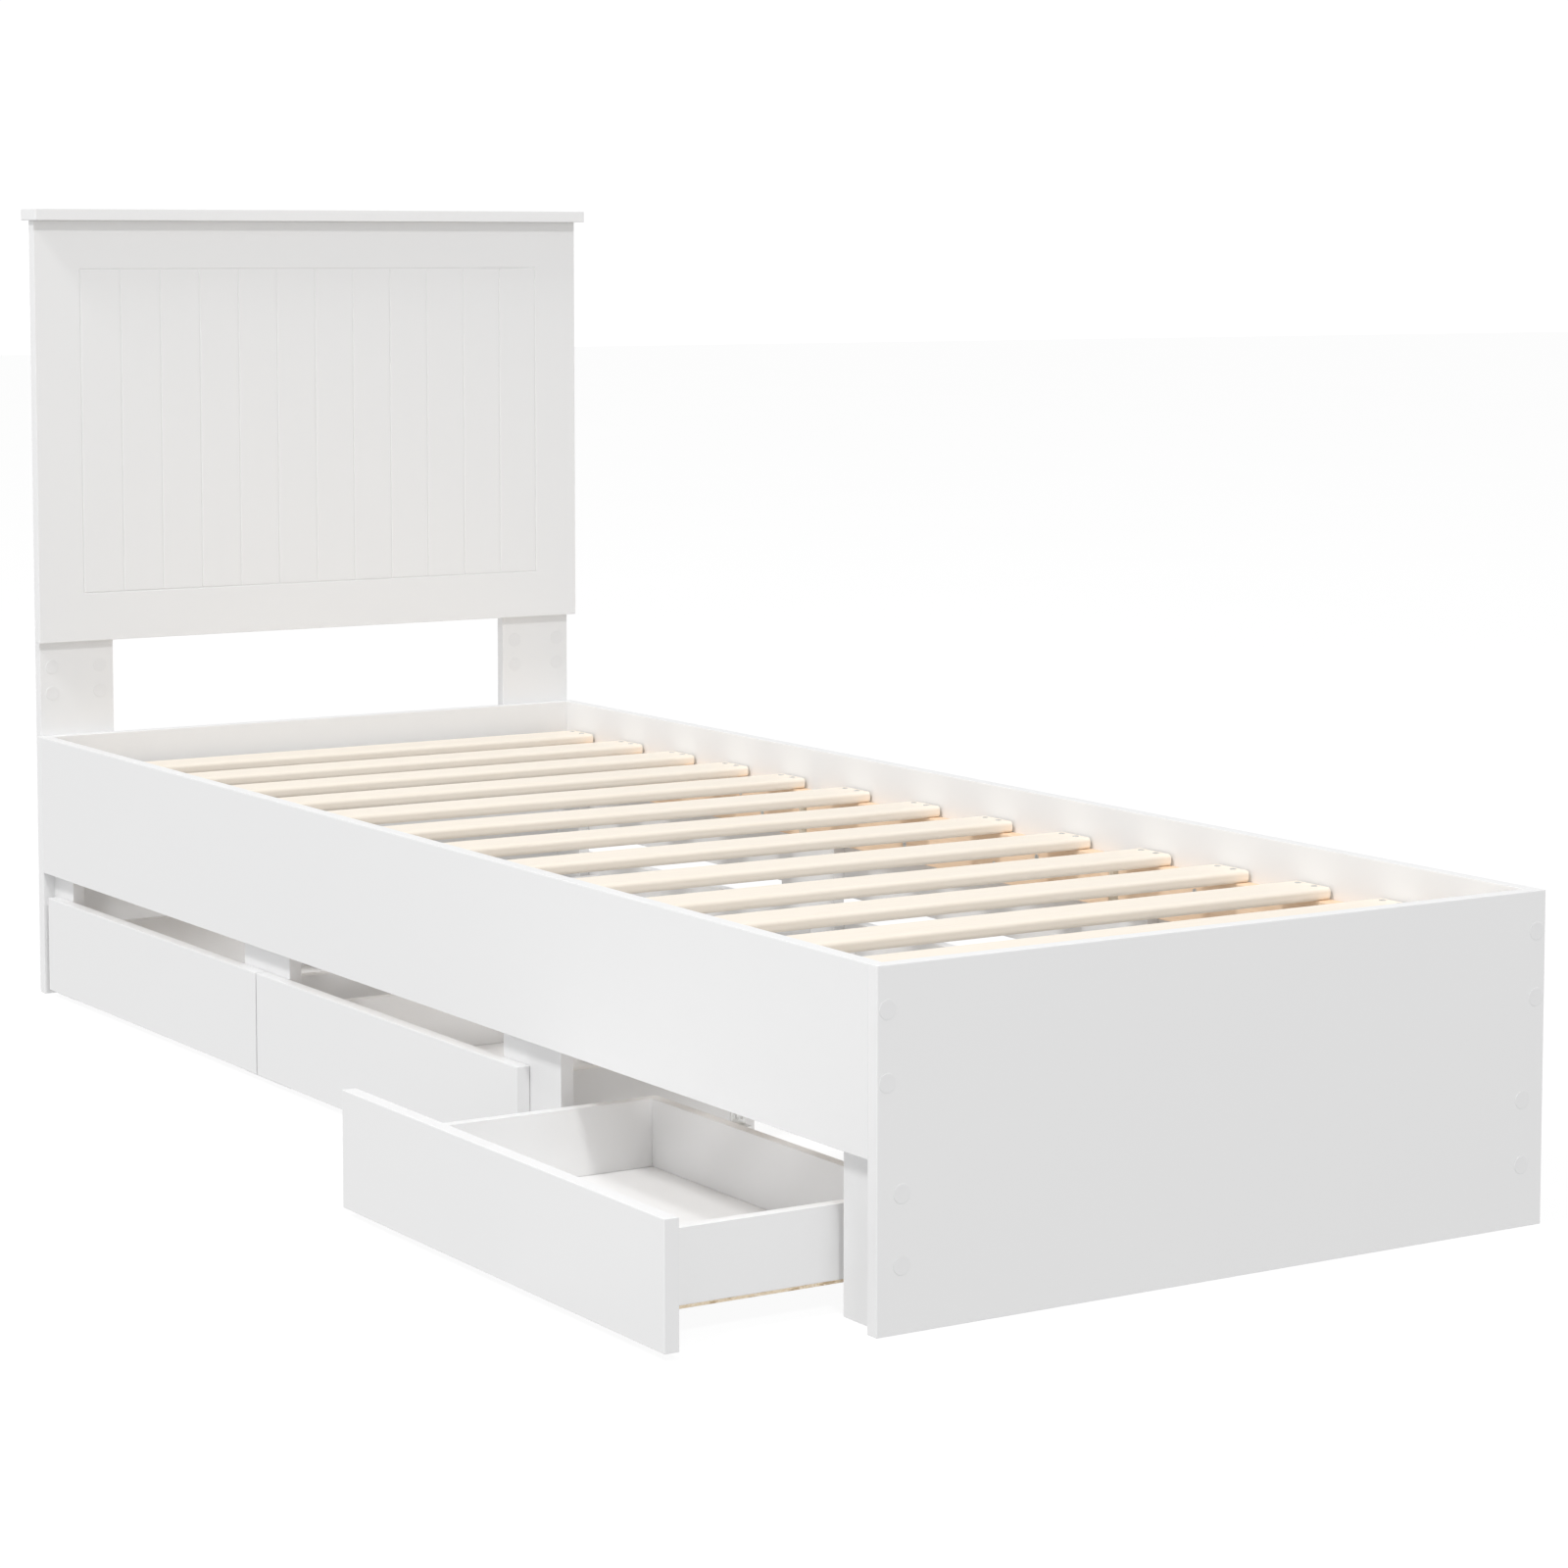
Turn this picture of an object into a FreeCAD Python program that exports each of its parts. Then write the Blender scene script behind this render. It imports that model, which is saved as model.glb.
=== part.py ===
import FreeCAD
import Part

import os

# Small-single storage bed of laminated boards: a panelled headboard on two
# posts, a box-shaped base with a slatted deck, and three castor drawers on
# the left long side.  Millimetres, +Z up, +Y towards the head, -X the drawer
# side.  Origin: middle of the footboard's underside.

V = FreeCAD.Vector

# ---- driving dimensions -------------------------------------------------
board = 15.0
base_w = 780.0
base_len = 1930.0
base_h = 330.0
rail_bottom = 156.0

post_w = 100.0
post_outer = 384.5
panel_bottom = 450.0
panel_top = 985.0
cap_w = 790.0
cap_t = 15.0
cap_front_overhang = 19.5

groove_w = 2.4
groove_depth = 1.0
field_half_w = 329.0
field_bottom = 511.5
field_top = 922.5
planks = 12

corner_post_w = 61.0
mid_post_w = 120.0
mid_post_y = 314.0
divider_len = 246.0
divider_h = 118.0

batten_t = 20.0
batten_h = 57.0
batten_gap = 18.0
batten_gap_y = 318.0
slat_w = 58.0
slat_t = 13.0
slat_half_len = 371.5
slat_round = 4.0
slat_offsets = (73.5, 222.7, 369.0, 502.4, 635.5, 768.5, 901.5)
slat_shift = -2.5

front_w = 621.0
front_pitch = 624.0
front_bottom = 8.0
front_top = 126.0
closed_gap = 0.3
box_w = 482.0
box_depth = 297.0
box_offset = 10.0
box_floor = 27.0
box_floor_t = 3.0
box_top = 99.5
box_wall = 12.0
drawer_out = (0.0, 0.0, 197.0)

wheel_r = 11.0
wheel_w = 12.0
axle_r = 2.0
axle_clearance = 0.06
bracket_len = 34.0
bracket_w = 28.0
bracket_sheet = 2.0
castor_inset_x = 18.5
castor_inset_y = 17.0

cover_r = 9.0
cover_t = 0.8
screw_r = 2.5
screw_head_r = 5.0
screw_len = 45.0
slat_screw_r = 1.75
slat_screw_head_r = 3.6
slat_screw_head_t = 0.6
slat_screw_x = 362.5
slat_screw_dy = 13.0
slat_screw_len = 35.0
batten_screw_len = 30.0
batten_screw_low = 20.0
batten_screw_high = 39.0
batten_screw_y = (
    (92.0, 0),
    (175.0, 1),
    (411.0, 0),
    (463.0, 1),
    (640.0, 0),
    (700.0, 1),
    (875.0, 0),
    (925.0, 1),
)

# ---- derived positions --------------------------------------------------
half_w = base_w / 2.0
inner_x = half_w - board
foot_front = -board / 2.0
foot_back = foot_front + board
head_back = foot_front + base_len
head_front = head_back - board
centre_y = foot_front + base_len / 2.0
deck_top = rail_bottom + 137.0
deck_under = deck_top - slat_t
batten_bottom = deck_under - batten_h
rail_screw_x = 379.0
post_screw_x = 363.5
screw_levels = (290.5, 225.5, 125.5, 61.7)
head_cover_x = (303.0, 368.0)
head_cover_z = (384.0, 417.5)


def box(x0, x1, y0, y1, z0, z1):
    return Part.makeBox(x1 - x0, y1 - y0, z1 - z0, V(x0, y0, z0))


def rod(radius, start, end):
    way = V(*end) - V(*start)
    return Part.makeCylinder(radius, way.Length, V(*start), way)


def mirrored(shape):
    return shape.mirror(V(0, 0, 0), V(1, 0, 0))


def cut_by(shape, tools):
    touching = [t for t in tools if shape.BoundBox.intersect(t.BoundBox)]
    if not touching:
        return shape
    return shape.cut(Part.makeCompound(touching))


# ---- fasteners ----------------------------------------------------------
def board_screw(x, z, face_y, inward):
    """Screw driven along Y through an end board into a board end."""
    head = rod(screw_head_r, (x, face_y, z), (x, face_y + inward * 3.0, z))
    shank = rod(screw_r, (x, face_y, z), (x, face_y + inward * screw_len, z))
    return head.fuse(shank)


def end_board_screws(face_y, inward):
    screws = []
    for side in (-1, 1):
        for z in screw_levels:
            x = rail_screw_x if z > rail_bottom else post_screw_x
            screws.append(board_screw(side * x, z, face_y, inward))
    return screws


def headboard_screws():
    """Screws from behind: posts into the end board and into the panel."""
    back = head_back + board
    screws = []
    for side in (-1, 1):
        for x in head_cover_x:
            for z in (90.0, 270.0, 520.0, 720.0, 920.0):
                head = rod(screw_head_r, (side * x, back, z), (side * x, back - 3.0, z))
                shank = rod(screw_r, (side * x, back, z), (side * x, back - 26.0, z))
                screws.append(head.fuse(shank))
    return screws


def slat_centres():
    offsets = sorted([-d for d in slat_offsets] + list(slat_offsets))
    return [centre_y + slat_shift + d for d in offsets]


def slat_screws(y):
    screws = []
    for side in (-1, 1):
        for dy in (-slat_screw_dy, slat_screw_dy):
            x = side * slat_screw_x
            foot = (x, y + dy, deck_top - slat_screw_len)
            brim = (x, y + dy, deck_top)
            crown = (x, y + dy, deck_top + slat_screw_head_t)
            screws.append(rod(slat_screw_r, foot, brim).fuse(rod(slat_screw_head_r, brim, crown)))
    return screws


def batten_screws(side):
    """Screws through the battens into the rails, in two staggered rows."""
    screws = []
    face = side * (inner_x - batten_t)
    for dy, row in batten_screw_y:
        z = batten_bottom + (batten_screw_high if row else batten_screw_low)
        for y in (centre_y - dy, centre_y + dy):
            head = rod(slat_screw_head_r, (face, y, z), (face - side * slat_screw_head_t, y, z))
            shank = rod(slat_screw_r, (face, y, z), (face + side * batten_screw_len, y, z))
            screws.append(head.fuse(shank))
    return screws


def divider_bracket(y_face, facing):
    """Small folded-sheet angle on a divider near its inner end."""
    x0 = -inner_x + board + divider_len - 30.0
    upright = box(x0, x0 + 18.0, 0.0, 1.5, 38.0, 56.0)
    shelf = box(x0, x0 + 18.0, 0.0, 16.0, 38.0, 39.5)
    angle = upright.fuse(shelf).removeSplitter()
    if facing < 0:
        angle = angle.mirror(V(0, 0, 0), V(0, 1, 0))
    angle.translate(V(0, y_face, 0))
    return angle


# ---- base ---------------------------------------------------------------
def end_board(y0, y1, screws):
    return cut_by(box(-half_w, half_w, y0, y1, 0.0, base_h), screws)


def side_rail(screws):
    rail = box(-half_w, -inner_x, foot_back, head_front, rail_bottom, base_h)
    return cut_by(rail, screws)


def batten(screws):
    """Three lengths in line, with a gap at the middle of each mid post."""
    x0 = -inner_x
    near = batten_gap_y - batten_gap / 2.0
    far = batten_gap_y + batten_gap / 2.0
    ends = (
        (foot_back + 5.0, centre_y - far),
        (centre_y - near, centre_y + near),
        (centre_y + far, head_front - 5.0),
    )
    lengths = [box(x0, x0 + batten_t, y0, y1, batten_bottom, deck_under) for y0, y1 in ends]
    return Part.makeCompound([cut_by(length, screws) for length in lengths])


def slat(y, screws):
    half = slat_w / 2.0
    bar = box(-slat_half_len, slat_half_len, y - half, y + half, deck_under, deck_top)
    long_edges = [e for e in bar.Edges if abs(e.Length - 2.0 * slat_half_len) < 0.01]
    return cut_by(bar.makeFillet(slat_round, long_edges), screws)


def side_post(y0, y1, screws):
    post = box(-inner_x, -inner_x + board, y0, y1, 0.0, batten_bottom)
    return cut_by(post, screws)


def divider(y):
    """Two boards in line, one from each side, with a gap in the middle."""
    x0 = -inner_x + board
    left = box(x0, x0 + divider_len, y - board / 2.0, y + board / 2.0, 0.0, divider_h)
    return Part.makeCompound([left, mirrored(left)])


# ---- headboard ----------------------------------------------------------
def headboard_post(screws):
    post = box(-post_outer, -post_outer + post_w, head_back, head_back + board, 0.0, panel_top)
    return cut_by(post, screws)


def vee(start, end):
    """V-shaped cutter along the panel's front face between two points."""
    h = groove_w / 2.0
    face = head_front - 0.01
    upright = abs(end[0] - start[0]) < 0.01
    side = V(h, 0, 0) if upright else V(0, 0, h)
    p0 = V(start[0], face, start[1])
    tip = p0 + V(0, groove_depth, 0)
    wire = Part.makePolygon([p0 - side, p0 + side, tip, p0 - side])
    return Part.Face(wire).extrude(V(end[0] - start[0], 0, end[1] - start[1]))


def panel_grooves():
    w = field_half_w
    cutters = []
    for z in (field_bottom, field_top):
        cutters.append(vee((-w, z), (w, z)))
    for i in range(planks + 1):
        x = -w + i * 2.0 * w / planks
        cutters.append(vee((x, field_bottom), (x, field_top)))
    return cutters


def headboard_panel(screws):
    panel = box(-half_w, half_w, head_front, head_back, panel_bottom, panel_top)
    return cut_by(panel, screws).cut(Part.makeCompound(panel_grooves()))


def headboard_cap():
    y0 = head_front - cap_front_overhang
    y1 = head_back + board
    top = panel_top + cap_t
    cap = box(-cap_w / 2.0, cap_w / 2.0, y0, y1, panel_top, top)
    rim = [e for e in cap.Edges if abs(e.BoundBox.ZMin - e.BoundBox.ZMax) < 0.01]
    return cap.makeFillet(1.0, rim)


# ---- covers over the screws ---------------------------------------------
def cover(x, y, z, out):
    return rod(cover_r, (x, y, z), (x, y + out * cover_t, z))


def screw_covers():
    covers = []
    for side in (-1, 1):
        for z in screw_levels:
            x = rail_screw_x if z > rail_bottom else post_screw_x
            covers.append(cover(side * x, foot_front, z, -1))
        for x in head_cover_x:
            for z in head_cover_z:
                covers.append(cover(side * x, head_back, z, -1))
    return covers


# ---- drawers ------------------------------------------------------------
def drawer_centre(i):
    return centre_y + (1 - i) * front_pitch


def box_span(i):
    """The box sits between the posts of its bay, off the front's centre."""
    centre = drawer_centre(i) + (1 - i) * box_offset
    return centre - box_w / 2.0, centre + box_w / 2.0


def drawer_boards(i, out):
    x0 = -inner_x - closed_gap - out
    x1 = x0 + box_depth
    y0, y1 = box_span(i)
    yc = drawer_centre(i)
    walls_z = box_floor + box_floor_t
    walls = [
        box(x0, x1, y0, y0 + box_wall, walls_z, box_top),
        box(x0, x1, y1 - box_wall, y1, walls_z, box_top),
        box(x1 - box_wall, x1, y0 + box_wall, y1 - box_wall, walls_z, box_top),
    ]
    return {
        "front": box(x0 - board, x0, yc - front_w / 2.0, yc + front_w / 2.0, front_bottom, front_top),
        "walls": Part.makeCompound(walls),
        "bottom": box(x0, x1, y0, y1, box_floor, walls_z),
    }


def castor_places(i, out):
    x0 = -inner_x - closed_gap - out
    y0, y1 = box_span(i)
    xs = (x0 + castor_inset_x, x0 + box_depth - castor_inset_x)
    return xs, (y0 + castor_inset_y, y1 - castor_inset_y)


def castor_bracket(x, y):
    plate_z = box_floor - bracket_sheet
    h = bracket_len / 2.0
    inner = wheel_w / 2.0 + 1.0
    body = box(x - h, x + h, y - bracket_w / 2.0, y + bracket_w / 2.0, plate_z, box_floor)
    for side in (-1, 1):
        lo, hi = sorted((side * inner, side * (inner + bracket_sheet)))
        cheek = box(x - 8.0, x + 8.0, y + lo, y + hi, wheel_r - 4.0, plate_z)
        body = body.fuse(cheek)
    reach = inner + bracket_sheet
    pin = rod(axle_r, (x, y - reach, wheel_r), (x, y + reach, wheel_r))
    return body.fuse(pin).removeSplitter()


def castor_wheel(x, y):
    h = wheel_w / 2.0
    tread = rod(wheel_r, (x, y - h, wheel_r), (x, y + h, wheel_r))
    rims = [e for e in tread.Edges if e.Length > 2.0 * wheel_r and len(e.Vertexes) == 1]
    tread = tread.makeFillet(0.8, rims)
    bore = rod(axle_r + axle_clearance, (x, y - h - 1.0, wheel_r), (x, y + h + 1.0, wheel_r))
    return tread.cut(bore)


def castors(i, out):
    xs, ys = castor_places(i, out)
    brackets = [castor_bracket(x, y) for x in xs for y in ys]
    return {
        "castor_brackets": Part.makeCompound(brackets),
        "castors_front": Part.makeCompound([castor_wheel(xs[0], y) for y in ys]),
        "castors_rear": Part.makeCompound([castor_wheel(xs[1], y) for y in ys]),
    }


def drawer(i, out):
    """Every node of the left drawer in bay i, counted from the head end."""
    pieces = drawer_boards(i, out)
    pieces.update(castors(i, out))
    return pieces


# ---- assembly -----------------------------------------------------------
def build_base(nodes, screws):
    nodes["footboard"] = end_board(foot_front, foot_back, screws)
    nodes["head_end_board"] = end_board(head_front, head_back, screws)
    mirrored_screws = [mirrored(s) for s in screws]
    mid_post_near = mid_post_y - mid_post_w / 2.0
    mid_post_far = mid_post_y + mid_post_w / 2.0
    posts = {
        "corner_post_foot": (foot_back, foot_back + corner_post_w),
        "mid_post_foot": (centre_y - mid_post_far, centre_y - mid_post_near),
        "mid_post_head": (centre_y + mid_post_near, centre_y + mid_post_far),
        "corner_post_head": (head_front - corner_post_w, head_front),
    }
    for side, tools in (("left", screws), ("right", mirrored_screws)):
        flip = mirrored if side == "right" else (lambda s: s)
        nodes["side_rail_" + side] = flip(side_rail(tools))
        nodes["slat_batten_" + side] = flip(batten(tools))
        nodes["headboard_post_" + side] = flip(headboard_post(tools))
        for name, span in posts.items():
            nodes[name + "_" + side] = flip(side_post(span[0], span[1], tools))
    nodes["divider_foot"] = divider(centre_y - mid_post_y)
    nodes["divider_head"] = divider(centre_y + mid_post_y)


def build_fixings():
    screws = end_board_screws(foot_front, 1)
    screws += end_board_screws(head_back, -1)
    screws += headboard_screws()
    for y in slat_centres():
        screws += slat_screws(y)
    for side in (-1, 1):
        screws += batten_screws(side)
    brackets = [
        divider_bracket(centre_y - mid_post_y - board / 2.0, -1),
        divider_bracket(centre_y + mid_post_y - board / 2.0, -1),
    ]
    brackets += [mirrored(bracket) for bracket in brackets]
    return screws, brackets


def build_slats(nodes, screws):
    slats = [slat(y, screws) for y in slat_centres()]
    half = len(slats) // 2
    nodes["slats_foot"] = Part.makeCompound(slats[:half])
    nodes["slats_head"] = Part.makeCompound(slats[half:])


def build_drawers(nodes):
    """Drawers 1 to 3 on the left and 4 to 6 on the right, from the head end."""
    for i in range(3):
        for name, shape in drawer(i, drawer_out[i]).items():
            nodes["drawer_%d_%s" % (i + 1, name)] = shape
        for name, shape in drawer(i, 0.0).items():
            nodes["drawer_%d_%s" % (i + 4, name)] = mirrored(shape)


def build():
    nodes = {}
    screws, brackets = build_fixings()
    build_base(nodes, screws)
    nodes["headboard_panel"] = headboard_panel(screws)
    nodes["headboard_cap"] = headboard_cap()
    build_slats(nodes, screws)
    nodes["screws_and_brackets"] = Part.makeCompound(screws + brackets)
    nodes["screw_covers"] = Part.makeCompound(screw_covers())
    build_drawers(nodes)
    return nodes


def export(nodes):
    os.makedirs("parts", exist_ok=True)
    for name, shape in nodes.items():
        shape.exportStep("parts/" + name + ".step")
    print(len(nodes), "nodes written")


export(build())
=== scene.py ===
import logging
import math
from contextlib import contextmanager
from dataclasses import dataclass
from enum import Enum
from typing import Callable, Iterator, Optional, Sequence, Union

import bmesh
import bpy
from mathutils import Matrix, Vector


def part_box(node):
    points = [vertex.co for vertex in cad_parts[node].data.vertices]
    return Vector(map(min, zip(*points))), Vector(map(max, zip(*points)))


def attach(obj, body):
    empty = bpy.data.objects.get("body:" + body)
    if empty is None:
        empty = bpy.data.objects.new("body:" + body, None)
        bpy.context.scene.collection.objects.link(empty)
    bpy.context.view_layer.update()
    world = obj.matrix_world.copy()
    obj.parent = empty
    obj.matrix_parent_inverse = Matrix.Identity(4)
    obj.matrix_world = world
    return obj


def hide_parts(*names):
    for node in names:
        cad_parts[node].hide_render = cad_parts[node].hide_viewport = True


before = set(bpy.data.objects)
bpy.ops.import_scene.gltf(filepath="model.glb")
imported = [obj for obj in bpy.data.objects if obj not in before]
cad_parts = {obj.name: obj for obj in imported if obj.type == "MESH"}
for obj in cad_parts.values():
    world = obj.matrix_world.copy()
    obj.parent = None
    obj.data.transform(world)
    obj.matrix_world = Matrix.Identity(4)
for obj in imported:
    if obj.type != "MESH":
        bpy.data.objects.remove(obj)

LOG = logging.getLogger("storage_bed")
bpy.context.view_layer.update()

Point = tuple[float, float, float]
Number = Union[float, "Wire"]
Test = Callable[[Vector, Vector], bool]

BED = "bed_frame"
SIDES = {"left": -1.0, "right": 1.0}
BOTH_WAYS = (-1.0, 1.0)
DIVIDERS = ("divider_foot", "divider_head")
DIVIDER_LENGTH = 0.246
SLAT_HALVES = ("slats_foot", "slats_head")
DRAWERS_PER_SIDE = 3

FACING = 0.999  # a normal that follows a direction this closely faces it
NEAR = 1e-5  # metres
TINY = 1e-6  # metres


class Axis(Enum):
    """One of the frame's three directions."""

    X = 0
    Y = 1
    Z = 2


# --------------------------------------------------------------------------
# Shader maths
# --------------------------------------------------------------------------


class Wire:
    """A shader socket that can be used in sums as if it were a number."""

    def __init__(self, bench: "PaintBench", socket: bpy.types.NodeSocket) -> None:
        """Wraps a socket.

        Args:
            bench: the material being built.
            socket: the output socket to wrap.
        """
        self.bench = bench
        self.socket = socket

    def _sum(self, operation: str, *terms: Number) -> "Wire":
        """Adds one Math node.

        Args:
            operation: the Math node's operation.
            *terms: its values or links, in order.

        Returns:
            The node's result.
        """
        node = self.bench.node("ShaderNodeMath", {"operation": operation}, dict(enumerate(terms)))
        return Wire(self.bench, node.outputs[0])

    def __add__(self, other: Number) -> "Wire":
        """Returns this plus other."""
        return self._sum("ADD", self, other)

    def __radd__(self, other: Number) -> "Wire":
        """Returns other plus this."""
        return self._sum("ADD", other, self)

    def __sub__(self, other: Number) -> "Wire":
        """Returns this less other."""
        return self._sum("SUBTRACT", self, other)

    def __rsub__(self, other: Number) -> "Wire":
        """Returns other less this."""
        return self._sum("SUBTRACT", other, self)

    def __mul__(self, other: Number) -> "Wire":
        """Returns this times other."""
        return self._sum("MULTIPLY", self, other)

    def __rmul__(self, other: Number) -> "Wire":
        """Returns other times this."""
        return self._sum("MULTIPLY", other, self)

    def fraction(self) -> "Wire":
        """Returns what is left of this after its whole part."""
        return self._sum("FRACT", self)

    def spread(self, low: float, high: float) -> "Wire":
        """Stretches the range low to high over 0 to 1, and cuts off what is outside.

        Args:
            low: the value that becomes 0.
            high: the value that becomes 1.

        Returns:
            The stretched value.
        """
        settings = {"interpolation_type": "SMOOTHSTEP"}
        ranges = {0: self, 1: low, 2: high, 3: 0.0, 4: 1.0}
        node = self.bench.node("ShaderNodeMapRange", settings, ranges)
        return Wire(self.bench, node.outputs[0])


class PaintBench:
    """Builds the nodes of one material, or of the surroundings."""

    def __init__(self, owner: Union[bpy.types.Material, bpy.types.World]) -> None:
        """Starts with no nodes.

        Args:
            owner: the material or world whose nodes are built.
        """
        owner.use_nodes = True
        self.owner = owner
        self.tree = owner.node_tree
        self.tree.nodes.clear()

    @classmethod
    def named(cls, name: str) -> "PaintBench":
        """Starts a new material and returns its bench."""
        return cls(bpy.data.materials.new(name))

    def node(
        self,
        kind: str,
        settings: Optional[dict[str, object]] = None,
        values: Optional[dict[Union[int, str], object]] = None,
    ) -> bpy.types.Node:
        """Adds a node, sets it up, and fills its sockets.

        Args:
            kind: the node's type.
            settings: the node's own settings, such as a Math node's operation.
            values: numbers, colours or wires, by socket name or number.

        Returns:
            The new node.
        """
        node = self.tree.nodes.new(kind)
        for name, value in (settings or {}).items():
            setattr(node, name, value)
        for key, value in (values or {}).items():
            socket = node.inputs[key]
            if isinstance(value, Wire):
                self.tree.links.new(value.socket, socket)
            else:
                socket.default_value = value
        return node

    def out(self, node: bpy.types.Node, name: Union[int, str] = 0) -> Wire:
        """Returns one of a node's outputs."""
        return Wire(self, node.outputs[name])

    def place(self, scale: Point = (1.0, 1.0, 1.0)) -> Wire:
        """Returns the surface's place in the frame, stretched for a pattern."""
        here = self.out(self.node("ShaderNodeTexCoord"), "Object")
        return self.out(self.node("ShaderNodeMapping", None, {"Vector": here, "Scale": scale}), "Vector")

    def noise(
        self, where: Wire, scale: float, detail: float = 2.0, rough: float = 0.5, warp: float = 0.0
    ) -> Wire:
        """Returns a noise pattern, about 0 to 1, with its finer octaves as strong as rough."""
        values = {"Vector": where, "Scale": scale, "Detail": detail, "Roughness": rough}
        return self.out(self.node("ShaderNodeTexNoise", None, {**values, "Distortion": warp}))

    def blend(self, share: Number, first: object, second: object) -> Wire:
        """Returns two colours mixed, with share saying how much of the second there is."""
        one, two = (c if isinstance(c, Wire) else (*c, 1.0) for c in (first, second))
        return self.out(self.node("ShaderNodeMix", {"data_type": "RGBA"}, {0: share, 6: one, 7: two}), 2)

    def relief(self, height: Wire, strength: float, depth: float) -> Wire:
        """Returns a normal bumped by a height of 0 to 1, which stands for depth in metres."""
        values = {"Strength": strength, "Distance": depth, "Height": height}
        return self.out(self.node("ShaderNodeBump", None, values), "Normal")

    def finish(self, **sockets: object) -> bpy.types.Material:
        """Ends the material with a Principled surface.

        Args:
            **sockets: its sockets' values or wires, with _ for a space.

        Returns:
            The finished material.
        """
        values = {name.replace("_", " "): value for name, value in sockets.items()}
        for name, value in values.items():
            if isinstance(value, tuple):
                values[name] = (*value, 1.0)
        shader = self.node("ShaderNodeBsdfPrincipled", None, values)
        self.node("ShaderNodeOutputMaterial", None, {"Surface": self.out(shader)})
        return self.owner


# --------------------------------------------------------------------------
# Finishes
# --------------------------------------------------------------------------


@dataclass(frozen=True)
class LaminateFinish:
    """Satin white laminate with a very fine pressed texture."""

    name: str
    colour: Point = (0.862, 0.862, 0.862)
    cooler: Point = (0.850, 0.851, 0.854)
    roughness: float = 0.46
    gloss: float = 0.35

    def mix(self) -> bpy.types.Material:
        """Builds the material.

        Returns:
            The laminate.
        """
        bench = PaintBench.named(self.name)
        where = bench.place()
        cloud = bench.noise(where, 2.3, 3.0, 0.55)
        fleck = bench.noise(where, 420.0, 2.0, 0.6)
        pores = bench.noise(where, 1500.0, 2.0, 0.5)
        share = cloud.spread(0.3, 0.75) * 0.55 + fleck.spread(0.45, 0.8) * 0.35
        colour = bench.blend(share, self.colour, self.cooler)
        rough = self.roughness + 0.07 * (bench.noise(where, 34.0, 3.0) - 0.5) + 0.05 * (fleck - 0.5)
        normal = bench.relief(0.6 * pores + 0.4 * fleck, 0.06, 0.00015)
        return bench.finish(
            Base_Color=colour, Roughness=rough, Normal=normal, Specular_IOR_Level=self.gloss
        )


@dataclass(frozen=True)
class EdgeBandFinish:
    """Plastic edge band, a little whiter and smoother than the faces."""

    name: str
    colour: Point = (0.870, 0.870, 0.872)
    worn: Point = (0.830, 0.828, 0.822)
    roughness: float = 0.36

    def mix(self) -> bpy.types.Material:
        """Builds the material.

        Returns:
            The edge band.
        """
        bench = PaintBench.named(self.name)
        where = bench.place()
        rub = bench.noise(where, 9.0, 4.0, 0.65)
        fine = bench.noise(where, 900.0, 2.0, 0.5)
        colour = bench.blend(rub.spread(0.55, 0.8) * 0.5, self.colour, self.worn)
        rough = self.roughness + 0.10 * (rub - 0.5)
        normal = bench.relief(fine, 0.06, 0.0002)
        return bench.finish(Base_Color=colour, Roughness=rough, Normal=normal, Specular_IOR_Level=0.45)


class Grain(Enum):
    """Which way a piece of wood runs."""

    ALONG_X = (0.9, 26.0, 26.0)
    ALONG_Y = (26.0, 0.9, 26.0)


@dataclass(frozen=True)
class PineFinish:
    """Planed softwood with soft growth lines."""

    name: str
    grain: Grain
    pale: Point = (0.935, 0.862, 0.762)
    dark: Point = (0.872, 0.780, 0.655)
    contrast: float = 0.50
    roughness: float = 0.56

    def mix(self) -> bpy.types.Material:
        """Builds the material.

        Returns:
            The wood.
        """
        bench = PaintBench.named(self.name)
        where = bench.place(self.grain.value)
        sway = bench.noise(where, 0.35, 2.0, 0.5)
        rings = bench.noise(where, 2.4, 3.0, 0.55, 0.6)
        fibre = bench.noise(where, 13.0, 2.0, 0.6, 0.3)
        wave = self.lines(rings * 9.0 + sway * 4.0)
        tone = bench.noise(bench.place((0.4, 7.0, 7.0)), 1.0, 1.0)
        share = (wave * 0.55 + fibre.spread(0.42, 0.78) * 0.45) * self.contrast + 0.22 * (tone - 0.5)
        colour = bench.blend(share.spread(0.0, 1.0), self.pale, self.dark)
        rough = self.roughness + 0.10 * (fibre - 0.5) + 0.05 * wave
        normal = bench.relief(0.5 * fibre + 0.5 * wave, 0.18, 0.0003)
        return bench.finish(Base_Color=colour, Roughness=rough, Normal=normal, Specular_IOR_Level=0.3)

    @staticmethod
    def lines(rise: Wire) -> Wire:
        """Turns a steady rise into soft lines, 0 to 1, with one line for each whole number."""
        tooth = rise.fraction()
        return tooth.spread(0.25, 1.0) * (1.0 - tooth.spread(0.93, 1.0))


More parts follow.
